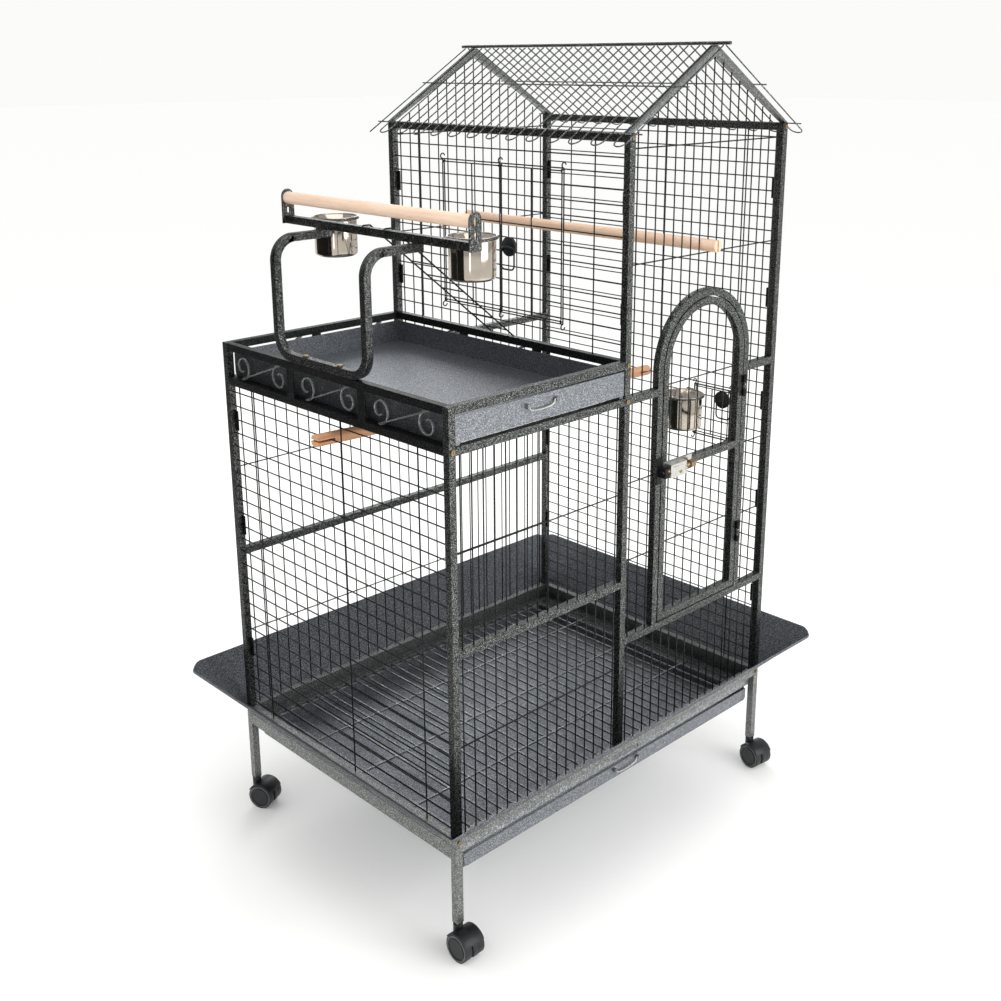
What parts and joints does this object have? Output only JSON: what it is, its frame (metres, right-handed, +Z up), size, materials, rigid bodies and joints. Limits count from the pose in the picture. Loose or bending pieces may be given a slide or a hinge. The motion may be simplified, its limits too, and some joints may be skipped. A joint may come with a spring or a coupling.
{
  "type": "play-top bird cage on a wheeled stand",
  "caption": "Wire parrot cage with a peaked tower, an arched door, a play top with perch, cups and ladder, pull-out trays, a seed skirt and a wheeled stand.",
  "frame": {"origin": "on the floor under the middle of the cage", "axes": "+Z up, +X to the right along the front, the front with the arched door faces -Y"},
  "size_m": [1.024, 0.796, 1.495],
  "materials": {
    "hammertone": "silver-vein hammertone powder coat",
    "dark_wire": "dark semi-gloss powder coat",
    "sheet": "fine hammertone powder coat on sheet",
    "scroll_black": "black semi-gloss paint",
    "fence_black": "dark hammertone powder coat",
    "perch_wood": "sanded bare hardwood",
    "steel": "polished stainless steel",
    "plated": "bright zinc plate",
    "black_metal": "black oxide",
    "black_plastic": "moulded black plastic",
    "brass": "yellow zinc plate"
  },
  "bodies": {
    "cage": {"stand_legs": "hammertone", "stand_rails": "hammertone", "floor_frame": "hammertone", "skirt_front_back": "sheet", "skirt_sides": "sheet", "platform_posts": "hammertone", "tower_posts": "hammertone", "front_rails": "hammertone", "back_rails": "hammertone", "eave_beams": "hammertone", "rafters": "hammertone", "ridge_rod": "dark_wire", "roof_left": "dark_wire", "roof_right": "dark_wire", "wires_front_left": "dark_wire", "wires_front_tower": "dark_wire", "wires_back": "dark_wire", "wires_left": "dark_wire", "wires_tower_left": "dark_wire", "wires_right": "dark_wire", "hook_plates": "black_metal", "screws": "brass", "fence_rails": "fence_black", "fence_scrolls": "scroll_black", "play_stand_tube": "hammertone", "play_bar": "hammertone", "play_perch": "perch_wood", "cup_rings": "dark_wire", "tower_perch": "perch_wood", "lower_perch": "perch_wood", "door_jamb": "hammertone", "hinge_pins": "black_metal", "latch_keeper": "black_metal"},
    "door": {"door_leaf": "hammertone", "door_wires": "dark_wire", "latch_body": "plated"},
    "bolt": {"latch_bolt": "brass"},
    "play_door_back": {"play_door_back": "dark_wire"},
    "play_door_front": {"play_door_front": "dark_wire"},
    "play_latch": {"play_door_latch": "black_plastic"},
    "feeder_door": {"feeder_door": "dark_wire"},
    "feeder_catch": {"feeder_latch": "black_plastic"},
    "platform_drawer": {"platform_tray": "sheet"},
    "platform_bail": {"platform_handle": "plated"},
    "base_drawer": {"base_tray": "sheet"},
    "base_bail": {"base_handle": "plated"},
    "grate": {"floor_grate": "dark_wire"},
    "ladder": {"ladder": "dark_wire"},
    "cup_back": {"cup_back": "steel"},
    "cup_front": {"cup_front": "steel"},
    "cup_inside": {"cup_inside": "steel"},
    "caster_front_left": {"caster_front_left": "black_plastic"},
    "wheels_front_left": {"wheels_front_left": "black_plastic"},
    "caster_front_right": {"caster_front_right": "black_plastic"},
    "wheels_front_right": {"wheels_front_right": "black_plastic"},
    "caster_back_left": {"caster_back_left": "black_plastic"},
    "wheels_back_left": {"wheels_back_left": "black_plastic"},
    "caster_back_right": {"caster_back_right": "black_plastic"},
    "wheels_back_right": {"wheels_back_right": "black_plastic"}
  },
  "joints": [
    {"name": "door_hinge", "type": "hinge", "parent": "cage", "child": "door", "pos_m": [0.3233, -0.3189, 0.7], "axis": [0, 0, 1], "range_deg": [0, 160]},
    {"name": "bolt_slide", "type": "slide", "parent": "door", "child": "bolt", "axis": [-1, 0, 0], "range_m": [0, 0.013]},
    {"name": "play_door_back_hinge", "type": "hinge", "parent": "cage", "child": "play_door_back", "pos_m": [-0.017, 0.1549, 1.146], "axis": [0, 0, 1], "range_deg": [0, 100]},
    {"name": "play_door_front_hinge", "type": "hinge", "parent": "cage", "child": "play_door_front", "pos_m": [-0.017, -0.1549, 1.146], "axis": [0, 0, -1], "range_deg": [0, 100]},
    {"name": "play_latch_turn", "type": "hinge", "parent": "play_door_front", "child": "play_latch", "pos_m": [-0.017, -0.026, 1.135], "axis": [1, 0, 0], "range_deg": [0, 90]},
    {"name": "feeder_door_hinge", "type": "hinge", "parent": "cage", "child": "feeder_door", "pos_m": [0.422, -0.1311, 0.758], "axis": [0, 0, 1], "range_deg": [0, 110]},
    {"name": "feeder_catch_turn", "type": "hinge", "parent": "feeder_door", "child": "feeder_catch", "pos_m": [0.422, -0.195, 0.788], "axis": [1, 0, 0], "range_deg": [0, 90]},
    {"name": "platform_slide", "type": "slide", "parent": "cage", "child": "platform_drawer", "axis": [0, -1, 0], "range_m": [0, 0.48]},
    {"name": "platform_bail_hinge", "type": "hinge", "parent": "platform_drawer", "child": "platform_bail", "pos_m": [-0.2295, -0.316, 0.936], "axis": [-1, 0, 0], "range_deg": [0, 90]},
    {"name": "base_slide", "type": "slide", "parent": "cage", "child": "base_drawer", "axis": [0, -1, 0], "range_m": [0, 0.5]},
    {"name": "base_bail_hinge", "type": "hinge", "parent": "base_drawer", "child": "base_bail", "pos_m": [0.012, -0.3075, 0.171], "axis": [-1, 0, 0], "range_deg": [0, 90]},
    {"name": "grate_slide", "type": "slide", "parent": "cage", "child": "grate", "axis": [0, -1, 0], "range_m": [0, 0.5]},
    {"name": "ladder_lift", "type": "slide", "parent": "cage", "child": "ladder", "axis": [0, 0, 1], "range_m": [0, 0.014]},
    {"name": "cup_back_lift", "type": "slide", "parent": "cage", "child": "cup_back", "axis": [0, 0, 1], "range_m": [0, 0.08]},
    {"name": "cup_front_lift", "type": "slide", "parent": "cage", "child": "cup_front", "axis": [0, 0, 1], "range_m": [0, 0.08]},
    {"name": "cup_inside_lift", "type": "slide", "parent": "cage", "child": "cup_inside", "axis": [0, 0, 1], "range_m": [0, 0.06]},
    {"name": "swivel_front_left", "type": "hinge", "parent": "cage", "child": "caster_front_left", "pos_m": [-0.422, -0.308, 0.05], "axis": [0, 0, 1], "continuous": true},
    {"name": "roll_front_left", "type": "hinge", "parent": "caster_front_left", "child": "wheels_front_left", "pos_m": [-0.422, -0.326, 0.025], "axis": [1, 0, 0], "continuous": true},
    {"name": "swivel_front_right", "type": "hinge", "parent": "cage", "child": "caster_front_right", "pos_m": [0.422, -0.308, 0.05], "axis": [0, 0, 1], "continuous": true},
    {"name": "roll_front_right", "type": "hinge", "parent": "caster_front_right", "child": "wheels_front_right", "pos_m": [0.4195, -0.32582, 0.025], "axis": [0.9903, -0.1392, 0], "continuous": true},
    {"name": "swivel_back_left", "type": "hinge", "parent": "cage", "child": "caster_back_left", "pos_m": [-0.422, 0.308, 0.05], "axis": [0, 0, 1], "continuous": true},
    {"name": "roll_back_left", "type": "hinge", "parent": "caster_back_left", "child": "wheels_back_left", "pos_m": [-0.41439, 0.29169, 0.025], "axis": [0.9063, 0.4226, 0], "continuous": true},
    {"name": "swivel_back_right", "type": "hinge", "parent": "cage", "child": "caster_back_right", "pos_m": [0.422, 0.308, 0.05], "axis": [0, 0, 1], "continuous": true},
    {"name": "roll_back_right", "type": "hinge", "parent": "caster_back_right", "child": "wheels_back_right", "pos_m": [0.43357, 0.29421, 0.025], "axis": [0.766, 0.6428, 0], "continuous": true}
  ]
}
